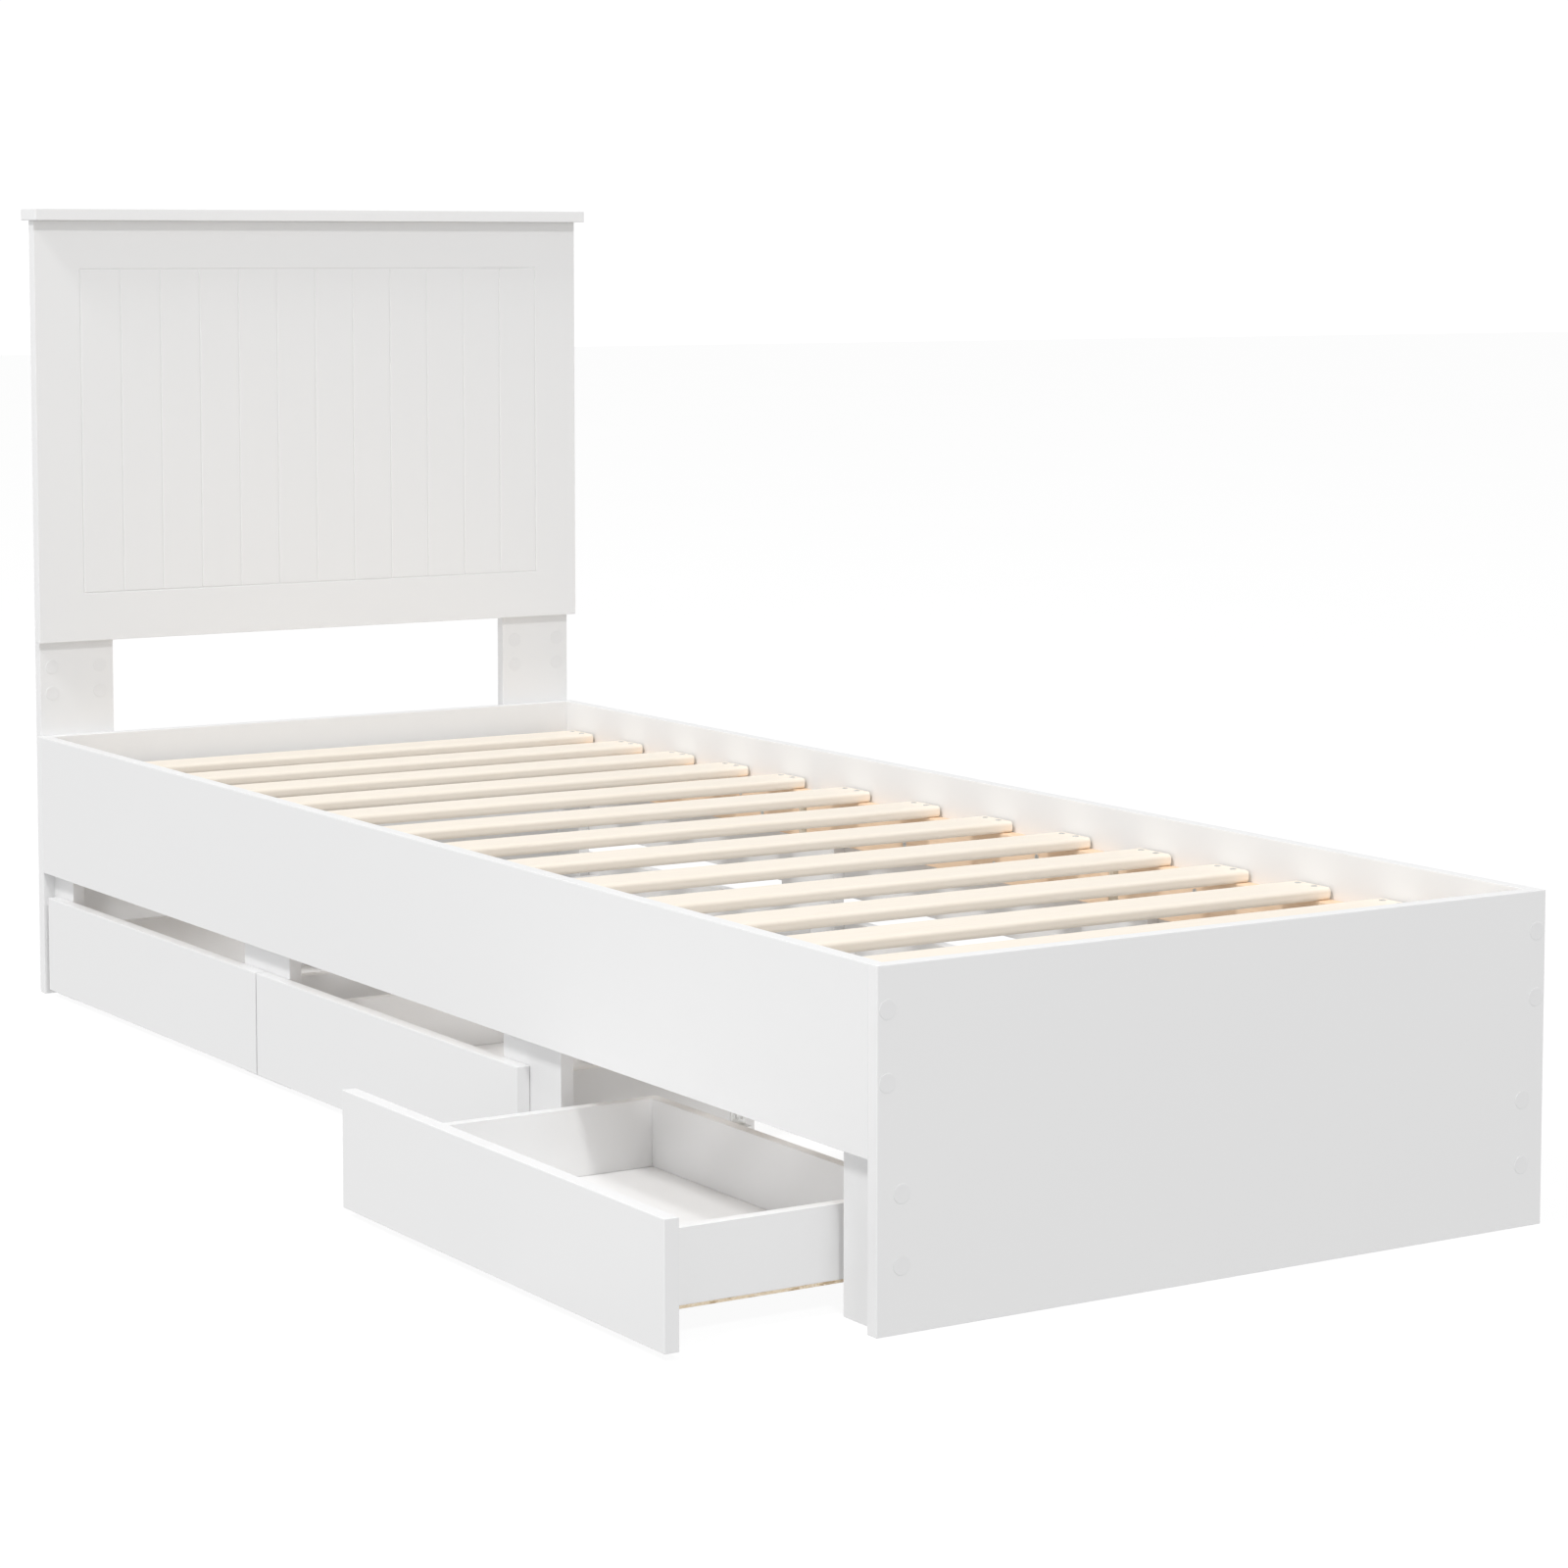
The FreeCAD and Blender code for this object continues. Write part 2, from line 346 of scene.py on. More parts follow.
@dataclass(frozen=True)
class EndGrainFinish:
    """Sawn end of a softwood slat."""

    name: str
    pale: Point = (0.86, 0.78, 0.66)
    dark: Point = (0.66, 0.53, 0.38)

    def mix(self) -> bpy.types.Material:
        """Builds the material.

        Returns:
            The end grain.
        """
        bench = PaintBench.named(self.name)
        where = bench.place()
        bent = bench.noise(where, 22.0, 2.0, 0.5, 0.4)
        pores = bench.noise(where, 1400.0, 2.0, 0.6)
        rings = (bent * 16.0).fraction()
        share = rings.spread(0.3, 1.0) * 0.5 + pores.spread(0.5, 0.8) * 0.25
        colour = bench.blend(share, self.pale, self.dark)
        normal = bench.relief(pores, 0.3, 0.0003)
        return bench.finish(Base_Color=colour, Roughness=0.75, Normal=normal, Specular_IOR_Level=0.2)


@dataclass(frozen=True)
class RawBoardFinish:
    """Bare sawn edge of pressed board, tan with darker chips."""

    name: str
    tan: Point = (0.80, 0.65, 0.46)
    chip: Point = (0.46, 0.32, 0.18)
    light: Point = (0.93, 0.84, 0.70)

    def mix(self) -> bpy.types.Material:
        """Builds the material.

        Returns:
            The raw edge.
        """
        bench = PaintBench.named(self.name)
        chips = bench.noise(bench.place((0.35, 0.35, 1.0)), 260.0, 3.0, 0.7)
        dust = bench.noise(bench.place(), 900.0, 2.0, 0.6)
        body = bench.blend(dust.spread(0.4, 0.7), self.tan, self.light)
        colour = bench.blend(chips.spread(0.50, 0.62) * 0.75, body, self.chip)
        normal = bench.relief(chips * 0.6 + dust * 0.4, 0.6, 0.0006)
        return bench.finish(Base_Color=colour, Roughness=0.85, Normal=normal, Specular_IOR_Level=0.15)


@dataclass(frozen=True)
class ZincFinish:
    """Bright zinc plate, finely brushed and a little cloudy."""

    name: str
    bright: Point = (0.76, 0.76, 0.75)
    dull: Point = (0.58, 0.58, 0.56)

    def mix(self) -> bpy.types.Material:
        """Builds the material.

        Returns:
            The plated steel.
        """
        bench = PaintBench.named(self.name)
        cloud = bench.noise(bench.place(), 240.0, 3.0, 0.6)
        brush = bench.noise(bench.place((1.0, 14.0, 1.0)), 700.0, 2.0)
        colour = bench.blend(cloud.spread(0.4, 0.75), self.bright, self.dull)
        rough = 0.30 + 0.14 * cloud
        normal = bench.relief(brush, 0.12, 0.0001)
        return bench.finish(Base_Color=colour, Metallic=1.0, Roughness=rough, Normal=normal)


@dataclass(frozen=True)
class MouldedFinish:
    """Moulded plastic with a faint sparked texture."""

    name: str
    colour: Point
    shade: Point
    roughness: float

    def mix(self) -> bpy.types.Material:
        """Builds the material.

        Returns:
            The plastic.
        """
        bench = PaintBench.named(self.name)
        where = bench.place()
        cloud = bench.noise(where, 40.0, 3.0, 0.55)
        spark = bench.noise(where, 2200.0, 1.0, 0.5)
        colour = bench.blend(cloud.spread(0.35, 0.8) * 0.6, self.colour, self.shade)
        rough = self.roughness + 0.12 * (cloud - 0.5)
        normal = bench.relief(spark, 0.15, 0.00015)
        return bench.finish(Base_Color=colour, Roughness=rough, Normal=normal, Specular_IOR_Level=0.4)


@dataclass(frozen=True)
class StudioFloorFinish:
    """Matt white floor that the studio lights lift from below."""

    name: str
    colour: Point = (0.16, 0.16, 0.16)
    darker: Point = (0.15, 0.15, 0.15)
    lift: float = 0.88

    def mix(self) -> bpy.types.Material:
        """Builds the material.

        Returns:
            The floor's finish.
        """
        bench = PaintBench.named(self.name)
        cloud = bench.noise(bench.place(), 1.2, 2.0, 0.5)
        colour = bench.blend(cloud, self.colour, self.darker)
        return bench.finish(
            Base_Color=colour,
            Roughness=0.9,
            Specular_IOR_Level=0.0,
            Emission_Color=(1.0, 1.0, 1.0),
            Emission_Strength=self.lift,
        )


class PaintShop:
    """Every finish on the bed, mixed once."""

    def __init__(self) -> None:
        """Mixes the finishes."""
        self.laminate = LaminateFinish("white_laminate").mix()
        self.band = EdgeBandFinish("white_edge_band").mix()
        # Drawer boxes: the same white laminate, made lighter as painted light on their shaded insides,
        # and a little rougher
        self.drawer = LaminateFinish(
            "drawer_laminate_painted_light", (0.905, 0.905, 0.905), (0.892, 0.892, 0.893), 0.5, 0.3
        ).mix()
        self.slat = PineFinish("slat_pine", Grain.ALONG_X).mix()
        self.slat_end = EndGrainFinish("slat_end_grain").mix()
        self.batten = PineFinish(
            "batten_pine", Grain.ALONG_Y, (0.93, 0.70, 0.50), (0.80, 0.52, 0.33), 0.6, 0.65
        ).mix()
        self.raw = RawBoardFinish("raw_board_edge").mix()
        self.zinc = ZincFinish("zinc_plate").mix()
        plastics = {
            "white_plastic": ((0.80, 0.80, 0.80), (0.74, 0.74, 0.75), 0.48),
            "cover_plastic": ((0.836, 0.836, 0.838), (0.822, 0.822, 0.825), 0.5),
            "grey_plastic": ((0.16, 0.16, 0.165), (0.11, 0.11, 0.115), 0.55),
        }
        self.white_plastic, self.cover, self.grey_plastic = (
            MouldedFinish(name, *look).mix() for name, look in plastics.items()
        )
        self.floor = StudioFloorFinish("studio_floor").mix()


# --------------------------------------------------------------------------
# Workshop
# --------------------------------------------------------------------------


class Workshop:
    """Hand tools for meshes: blocks, rods, bevels, insets and cuts."""

    @staticmethod
    def clear() -> None:
        """Deselects everything."""
        bpy.ops.object.select_all(action="DESELECT")

    @staticmethod
    def take(piece: bpy.types.Object) -> None:
        """Selects one piece and makes it the active one."""
        Workshop.clear()
        piece.select_set(True)
        bpy.context.view_layer.objects.active = piece

    @staticmethod
    def settle(piece: bpy.types.Object, name: str) -> bpy.types.Object:
        """Names a new piece and moves its place into its mesh.

        Args:
            piece: the new piece.
            name: its name.

        Returns:
            The same piece.
        """
        piece.name = name
        piece.data.name = name
        Workshop.take(piece)
        bpy.ops.object.transform_apply(location=True, rotation=True, scale=True)
        return piece

    @staticmethod
    def block(name: str, low: Vector, high: Vector) -> bpy.types.Object:
        """Adds a block between two corners.

        Args:
            name: its name.
            low: its lowest corner.
            high: its highest corner.

        Returns:
            The block.
        """
        Workshop.clear()
        bpy.ops.mesh.primitive_cube_add(size=1.0, location=(low + high) / 2.0, scale=high - low)
        return Workshop.settle(bpy.context.object, name)

    @staticmethod
    def rod(
        name: str, centre: Point, radius: float, length: float, axis: Axis, sides: int
    ) -> bpy.types.Object:
        """Adds a round rod.

        Args:
            name: its name.
            centre: its middle.
            radius: its radius.
            length: its length.
            axis: the way it points.
            sides: how many flats it has round it.

        Returns:
            The rod.
        """
        quarter = math.pi / 2.0
        turns = {Axis.X: (0.0, quarter, 0.0), Axis.Y: (quarter, 0.0, 0.0), Axis.Z: (0.0, 0.0, 0.0)}
        Workshop.clear()
        bpy.ops.mesh.primitive_cylinder_add(
            vertices=sides, radius=radius, depth=length, location=centre, rotation=turns[axis]
        )
        return Workshop.settle(bpy.context.object, name)

    @staticmethod
    @contextmanager
    def editing(piece: bpy.types.Object, mode: str = "FACE") -> Iterator[None]:
        """Opens a piece in edit mode with nothing selected.

        Args:
            piece: the piece to edit.
            mode: what is selected: VERT, EDGE or FACE.
        """
        Workshop.take(piece)
        bpy.ops.object.mode_set(mode="EDIT")
        bpy.ops.mesh.select_mode(type=mode)
        bpy.ops.mesh.select_all(action="DESELECT")
        try:
            yield
        finally:
            bpy.ops.object.mode_set(mode="OBJECT")

    @staticmethod
    def pick_faces(piece: bpy.types.Object, wanted: Test) -> None:
        """Selects the faces that pass a test, and only those.

        Args:
            piece: the piece in edit mode.
            wanted: tests a face's centre and normal.
        """
        for face in bmesh.from_edit_mesh(piece.data).faces:
            face.select_set(bool(wanted(face.calc_center_median(), face.normal)))
        bmesh.update_edit_mesh(piece.data)

    @staticmethod
    def pick_edges(piece: bpy.types.Object, wanted: Test) -> None:
        """Adds the edges that pass a test to the selection.

        Args:
            piece: the piece in edit mode.
            wanted: tests an edge's two ends.
        """
        for edge in bmesh.from_edit_mesh(piece.data).edges:
            if wanted(edge.verts[0].co, edge.verts[1].co):
                edge.select_set(True)
        bmesh.update_edit_mesh(piece.data)

    @staticmethod
    def inset(piece: bpy.types.Object, wanted: Test, *steps: tuple[float, float]) -> None:
        """Insets the faces that pass a test, once for each step.

        Args:
            piece: the piece.
            wanted: tests a face's centre and normal.
            *steps: how far in and how far out each inset goes.
        """
        with Workshop.editing(piece):
            Workshop.pick_faces(piece, wanted)
            for inwards, outwards in steps:
                bpy.ops.mesh.inset(thickness=inwards, depth=outwards)

    @staticmethod
    def bevel(piece: bpy.types.Object, wanted: Test, width: float, facets: int) -> None:
        """Bevels the edges that pass a test.

        Args:
            piece: the piece.
            wanted: tests an edge's two ends.
            width: the bevel's width.
            facets: how many facets it has.
        """
        with Workshop.editing(piece, "EDGE"):
            Workshop.pick_edges(piece, wanted)
            bpy.ops.mesh.bevel(offset=width, segments=facets, affect="EDGES")

    @staticmethod
    def soften(piece: bpy.types.Object, width: float, facets: int = 2) -> None:
        """Bevels every edge of a piece."""
        Workshop.bevel(piece, lambda a, b: True, width, facets)

    @staticmethod
    def smooth(piece: bpy.types.Object, degrees: float) -> None:
        """Shades a round piece smoothly, except across sharp edges."""
        Workshop.take(piece)
        bpy.ops.object.shade_smooth_by_angle(angle=math.radians(degrees))

    @staticmethod
    def cut(piece: bpy.types.Object, cutter: bpy.types.Object) -> None:
        """Takes one piece's shape out of another, and throws the cutter away.

        Args:
            piece: the piece that is cut.
            cutter: the shape that is taken out.
        """
        Workshop.take(piece)
        change = piece.modifiers.new("cut", "BOOLEAN")
        change.operation = "DIFFERENCE"
        change.solver = "EXACT"
        change.object = cutter
        bpy.ops.object.modifier_apply(modifier=change.name)
        bpy.data.objects.remove(cutter)

    @staticmethod
    def copy(piece: bpy.types.Object, name: str, shift: Point) -> bpy.types.Object:
        """Copies a piece, mesh and all, to another place.

        Args:
            piece: the piece to copy.
            name: the copy's name.
            shift: how far the copy is moved.

        Returns:
            The copy.
        """
        Workshop.take(piece)
        bpy.ops.object.duplicate(linked=False)
        twin = bpy.context.object
        twin.location = Vector(shift)
        return Workshop.settle(twin, name)

    @staticmethod
    def scatter(seed: bpy.types.Object, shifts: Sequence[Point]) -> list[bpy.types.Object]:
        """Copies a piece to several places, and throws the first one away.

        Args:
            seed: the piece to copy.
            shifts: how far each copy is moved.

        Returns:
            The copies.
        """
        copies = [Workshop.copy(seed, "copy", shift) for shift in shifts]
        bpy.data.objects.remove(seed)
        return copies

    @staticmethod
    def join(name: str, pieces: Sequence[bpy.types.Object]) -> bpy.types.Object:
        """Joins several pieces into one.

        Args:
            name: the joined piece's name.
            pieces: the pieces.

        Returns:
            The joined piece.
        """
        Workshop.clear()
        for piece in pieces:
            piece.select_set(True)
        bpy.context.view_layer.objects.active = pieces[0]
        bpy.ops.object.join()
        return Workshop.settle(bpy.context.object, name)

    @staticmethod
    def dress(piece: bpy.types.Object, *materials: bpy.types.Material) -> None:
        """Gives a piece its material slots."""
        piece.data.materials.clear()
        for material in materials:
            piece.data.materials.append(material)

    @staticmethod
    def paint(piece: bpy.types.Object, wanted: Test) -> None:
        """Puts the faces that pass a test in the second material slot.

        Args:
            piece: the piece.
            wanted: tests a face's centre and normal.
        """
        for face in piece.data.polygons:
            if wanted(face.center, face.normal):
                face.material_index = 1


def reach(node: str) -> tuple[Vector, Vector]:
    """Returns the two corners of a CAD node."""
    low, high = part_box(node)
    return Vector(low), Vector(high)


def hand_over(piece: bpy.types.Object, body: str, slot: str, *nodes: str) -> None:
    """Fixes a finished piece to its body in place of its CAD nodes.

    Args:
        piece: the finished piece.
        body: the body it moves with.
        slot: the record's material slot; not used.
        *nodes: the CAD nodes that it stands for.
    """
    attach(piece, body)
    if nodes:
        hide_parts(*nodes)
    LOG.info("%s on %s: %d faces", piece.name, body, len(piece.data.polygons))


# --------------------------------------------------------------------------
# Boards
# --------------------------------------------------------------------------


@dataclass
class LaminatedBoard:
    """A flat white board with a thin edge band round it."""

    node: str
    body: str = BED
    slot: str = "white_board"
    arris: float = 0.0007
    band_lip: float = 0.0008
    span: Optional[tuple[Vector, Vector]] = None
    label: str = ""
    piece: Optional[bpy.types.Object] = None

    def corners(self) -> tuple[Vector, Vector]:
        """Returns the board's two corners."""
        return self.span if self.span else reach(self.node)

    def thin_axis(self) -> int:
        """Returns the direction in which the board is thinnest."""
        low, high = self.corners()
        size = high - low
        return min(range(3), key=lambda i: size[i])

    def build(self) -> bpy.types.Object:
        """Makes the board: a block, its arrises, and the band's line on each face.

        Returns:
            The board.
        """
        thin = self.thin_axis()
        self.piece = Workshop.block("board_" + (self.label or self.node), *self.corners())
        Workshop.soften(self.piece, self.arris)
        Workshop.inset(self.piece, lambda c, n: abs(n[thin]) > FACING, (self.band_lip, 0.0))
        return self.piece

    def dress(self, face: bpy.types.Material, band: bpy.types.Material) -> None:
        """Paints the two faces and the band.

        Args:
            face: the laminate.
            band: the edge band.
        """
        low, high = self.corners()
        thin = self.thin_axis()
        wide = [i for i in range(3) if i != thin]
        edge = self.arris + self.band_lip

        def on_face(centre: Vector, normal: Vector) -> bool:
            """Returns whether a face is part of a big side, inside the band's line."""
            inside = all(low[i] + edge < centre[i] < high[i] - edge for i in wide)
            return inside and abs(normal[thin]) >= FACING

        Workshop.dress(self.piece, band, face)
        Workshop.paint(self.piece, on_face)

    def finish(
        self, face: bpy.types.Material, band: bpy.types.Material, stands_for: bool = True
    ) -> None:
        """Builds, paints and hands over the board.

        Args:
            face: the laminate.
            band: the edge band.
            stands_for: whether it takes its node's place, or another board of the node already has.
        """
        if self.piece is None:
            self.build()
        self.dress(face, band)
        hand_over(self.piece, self.body, self.slot, *([self.node] if stands_for else []))


@dataclass
class BaseBox:
    """The box-shaped base: end boards, rails, posts and dividers."""

    shop: PaintShop
    ends: tuple[str, ...] = ("footboard", "head_end_board")
    rails: tuple[str, ...] = ("side_rail_left", "side_rail_right")
    posts: tuple[str, ...] = ("corner_post_foot", "mid_post_foot", "mid_post_head", "corner_post_head")

    def build(self) -> None:
        """Makes every board of the base."""
        for node in DIVIDERS:
            self.build_divider(node)
        names = [*self.ends, *self.rails]
        names += [f"{post}_{side}" for post in self.posts for side in SIDES]
        for name in names:
            LaminatedBoard(name).finish(self.shop.laminate, self.shop.band)

    def build_divider(self, node: str) -> None:
        """Makes the two boards in the line between two drawer bays.

        Args:
            node: the line's node.
        """
        low, high = reach(node)
        left_end = Vector((low.x + DIVIDER_LENGTH, high.y, high.z))
        right_start = Vector((high.x - DIVIDER_LENGTH, low.y, low.z))
        for side, span in zip(SIDES, ((low, left_end), (right_start, high))):
            board = LaminatedBoard(node, span=span, label=f"{node}_{side}")
            board.finish(self.shop.laminate, self.shop.band, side == "left")


@dataclass
class Headboard:
    """Grooved panel, cap, and the two posts that carry them."""

    shop: PaintShop
    margin: float = 0.0615
    groove: float = 0.0024
    depth: float = 0.0010
    planks: int = 12
    cap_arris: float = 0.0012
    screw_levels: tuple[float, ...] = (0.09, 0.27, 0.52, 0.72, 0.92)
    screw_columns: tuple[float, ...] = (0.303, 0.368)
    pit_depth: float = 0.0012
    pit_play: float = 0.0004
    head_radius: float = 0.0050
    head_height: float = 0.0009
    head_sunk: float = 0.0011

    def build(self) -> None:
        """Makes the headboard's pieces."""
        self.build_panel()
        cap = LaminatedBoard("headboard_cap", arris=self.cap_arris)
        cap.finish(self.shop.laminate, self.shop.band)
        for side, sign in SIDES.items():
            self.build_post(side, sign)
        self.build_back_screws()

    def build_panel(self) -> None:
        """Makes the panel: an inset rectangle with grooves that mark out planks."""
        low, high = reach("headboard_panel")
        middle = (low + high) / 2.0
        board = LaminatedBoard("headboard_panel")
        panel = board.build()

        def on_front(c: Vector, n: Vector) -> bool:
            """Returns whether a face is the big one at the front."""
            return n.y < -FACING and max(abs(c.x - middle.x), abs(c.z - middle.z)) < self.margin

        half = self.groove / 2.0
        rim = self.margin - board.arris - board.band_lip - half
        Workshop.inset(panel, on_front, (rim, 0.0), (half, -self.depth), (half, self.depth))
        self.cut_planks(panel, low, high)
        board.dress(self.shop.laminate, self.shop.band)
        Workshop.paint(panel, lambda c, n: n.y < -0.1 and self.in_field(c, low, high, 0.01))
        hand_over(panel, board.body, board.slot, board.node)

    def in_field(self, place: Vector, low: Vector, high: Vector, spare: float = 0.0) -> bool:
        """Tells whether a place is inside the grooved rectangle, or within spare outside it."""
        m = self.margin - spare
        return low.x + m < place.x < high.x - m and low.z + m < place.z < high.z - m

    def cut_planks(self, panel: bpy.types.Object, low: Vector, high: Vector) -> None:
        """Presses the upright grooves into the field.

        Args:
            panel: the panel.
            low: its lowest corner.
            high: its highest corner.
        """
        front = low.y
        half = (high.x - low.x) / 2.0 - self.margin
        centres = [-half + i * 2.0 * half / self.planks for i in range(1, self.planks)]
        end = self.margin + self.groove

        def on_field(c: Vector, n: Vector) -> bool:
            """Returns whether a face is a flat part of the field."""
            return n.y < -FACING and abs(c.y - front) < NEAR and self.in_field(c, low, high)

        def mid_groove(a: Vector, b: Vector) -> bool:
            """Returns whether an edge is a groove's middle line, from end to end."""
            flat = max(abs(a.x - b.x), abs(a.y - front), abs(b.y - front)) < NEAR
            whole = min(a.z, b.z) < low.z + end and max(a.z, b.z) > high.z - end
            return flat and whole and any(abs(a.x - x) < self.groove * 0.1 for x in centres)

        for x in centres:
            for cut in (x - self.groove / 2.0, x, x + self.groove / 2.0):
                with Workshop.editing(panel):
                    Workshop.pick_faces(panel, on_field)
                    bpy.ops.mesh.bisect(plane_co=(cut, front, 0.0), plane_no=(1.0, 0.0, 0.0))
        with Workshop.editing(panel, "EDGE"):
            Workshop.pick_edges(panel, mid_groove)
            bpy.ops.transform.translate(value=(0.0, self.depth, 0.0))

    def build_post(self, side: str, sign: float) -> None:
        """Makes a post with shallow pits for the screws at the back.

        Args:
            side: left or right.
            sign: -1 for left, 1 for right.
        """
        board = LaminatedBoard("headboard_post_" + side)
        post = board.build()
        back = reach(board.node)[1].y
        radius = self.head_radius + self.pit_play
        pits = [
            Workshop.rod("pit", (sign * x, back, z), radius, 2.0 * self.pit_depth, Axis.Y, 28)
            for x in self.screw_columns
            for z in self.screw_levels
        ]
        Workshop.cut(post, Workshop.join("pits", pits))
        board.finish(self.shop.laminate, self.shop.band)

    def build_back_screws(self) -> None:
        """Makes the sunk screw heads at the back of the posts."""
        back = reach("headboard_post_left")[1].y
        x0, z0 = self.screw_columns[0], self.screw_levels[0]
        screw = ScrewHead("back_screw", self.head_radius, self.head_height, Axis.Y, 1.0)
        shifts = [
            (sign * x - x0, 0.0, z - z0)
            for sign in SIDES.values()
            for x in self.screw_columns
            for z in self.screw_levels
        ]
        heads = Workshop.scatter(screw.build((x0, back - self.head_sunk, z0)), shifts)
        joined = Workshop.join("headboard_back_screws", heads)
        Workshop.dress(joined, self.shop.zinc)
        hand_over(joined, BED, "steel", "screws_and_brackets")


# --------------------------------------------------------------------------
# Fixings
# --------------------------------------------------------------------------


@dataclass
class ScrewHead:
    """A low domed screw head with a crossed recess, its parts as shares of its size."""

    name: str
    radius: float
    height: float
    axis: Axis
    outward: float
    rim: float = 0.30
    dome: float = 0.55
    recess_arm: float = 0.55
    recess_width: float = 0.15
    recess_depth: float = 0.6

    def build(self, foot: Point) -> bpy.types.Object:
        """Makes the head.

        Args:
            foot: the middle of the head's underside.

        Returns:
            The head.
        """
        way = Vector([1.0 if i == self.axis.value else 0.0 for i in range(3)]) * self.outward
        top = Vector(foot) + way * self.height
        centre = Vector(foot) + way * self.height / 2.0
        head = Workshop.rod(self.name, tuple(centre), self.radius, self.height, self.axis, 20)
        Workshop.inset(head, lambda c, n: n.dot(way) > 0.9, (self.radius * self.rim, 0.0))

        def on_rim(a: Vector, b: Vector) -> bool:
            """Returns whether an edge is on the head's outer top rim."""
            ends = [p - top for p in (a, b)]
            return all(abs(p.dot(way)) < TINY and p.length > self.radius * 0.95 for p in ends)

        Workshop.bevel(head, on_rim, self.height * self.dome, 2)
        self.cut_cross(head, top)
        Workshop.smooth(head, 40.0)
        return head

    def cut_cross(self, head: bpy.types.Object, top: Vector) -> None:
        """Cuts the crossed recess.

        Args:
            head: the screw head.
            top: the middle of its top.
        """
        bars = []
        for long_way in (i for i in range(3) if i != self.axis.value):
            size = Vector([self.radius * self.recess_width] * 3)
            size[long_way] = self.radius * self.recess_arm
            size[self.axis.value] = self.height * self.recess_depth
            bars.append(Workshop.block("recess", top - size, top + size))
        for bar in bars:
            Workshop.cut(head, bar)


@dataclass
class DeckFixings:
    """Screw heads on the slats and battens."""

    shop: PaintShop
    radius: float = 0.0036
    height: float = 0.0006
    slat_x: float = 0.3625
    slat_dy: float = 0.013
    batten_rows: tuple[tuple[float, float], ...] = (
        (0.092, 0.020),
        (0.175, 0.039),
        (0.411, 0.020),
        (0.463, 0.039),
        (0.640, 0.020),
        (0.700, 0.039),
        (0.875, 0.020),
        (0.925, 0.039),
    )

    def build(self, places: Sequence[float]) -> None:
        """Makes all the heads.

        Args:
            places: each slat's middle along Y.
        """
        for name, heads in (("slat", self.slat_heads(places)), ("batten", self.batten_heads())):
            joined = Workshop.join(f"{name}_screw_heads", heads)
            Workshop.dress(joined, self.shop.zinc)
            hand_over(joined, BED, "steel")

    def slat_heads(self, places: Sequence[float]) -> list[bpy.types.Object]:
        """Makes two heads at each slat end.

        Args:
            places: each slat's middle along Y.

        Returns:
            The heads.
        """
        top = reach(SLAT_HALVES[0])[1].z
        seed = ScrewHead("slat_screw", self.radius, self.height, Axis.Z, 1.0).build((0.0, 0.0, top))
        spots = [
            (x, middle + dy, 0.0)
            for middle in places
            for x in (-self.slat_x, self.slat_x)
            for dy in (-self.slat_dy, self.slat_dy)
        ]
        return Workshop.scatter(seed, spots)

    def batten_heads(self) -> list[bpy.types.Object]:
        """Makes the two staggered rows of heads on each batten.

        Returns:
            The heads.
        """
        heads = []
        for side, sign in SIDES.items():
            low, high = reach("slat_batten_" + side)
            middle = (low.y + high.y) / 2.0
            face = low.x if sign > 0 else high.x
            screw = ScrewHead("batten_screw", self.radius, self.height, Axis.X, -sign)
            spots = [(0.0, way * dy, dz) for dy, dz in self.batten_rows for way in BOTH_WAYS]
            heads += Workshop.scatter(screw.build((face, middle, low.z)), spots)
        return heads


@dataclass
class ScrewCovers:
    """Round covers over the screws in the footboard and headboard posts."""

    shop: PaintShop
    radius: float = 0.009
    height: float = 0.0004
    rim: float = 0.6
    dish: tuple[tuple[float, float], ...] = ((0.0012, 0.0), (0.0010, -0.00005))
    levels: tuple[float, ...] = (0.2905, 0.2255, 0.1257, 0.0617)
    rail_x: float = 0.379
    post_x: float = 0.3635
    rail_level: float = 0.156
    upper: tuple[tuple[float, float], ...] = (
        (0.303, 0.384),
        (0.303, 0.4175),
        (0.368, 0.384),
        (0.368, 0.4175),
    )

    def build(self) -> None:
        """Makes one cover and copies it to every place."""
        foot = reach("footboard")[0].y
        head = reach("head_end_board")[1].y
        spots = []
        for sign in SIDES.values():
            for z in self.levels:
                x = self.rail_x if z > self.rail_level else self.post_x
                spots.append((sign * x, foot, z))
            spots += [(sign * x, head, z) for x, z in self.upper]
        joined = Workshop.join("screw_cover_discs", Workshop.scatter(self.build_cover(), spots))
        Workshop.dress(joined, self.shop.cover)
        hand_over(joined, BED, "white_plastic", "screw_covers")

    def build_cover(self) -> bpy.types.Object:
        """Makes a thin disc with a rounded rim and a slightly dished face.

        Returns:
            The cover, with its back on the plane Y = 0.
        """
        middle = (0.0, -self.height / 2.0, 0.0)
        disc = Workshop.rod("cover", middle, self.radius, self.height, Axis.Y, 40)
        Workshop.bevel(disc, lambda a, b: max(a.y, b.y) < middle[1], self.height * self.rim, 3)
        Workshop.inset(disc, lambda c, n: n.y < -FACING, *self.dish)
        Workshop.smooth(disc, 40.0)
        return disc


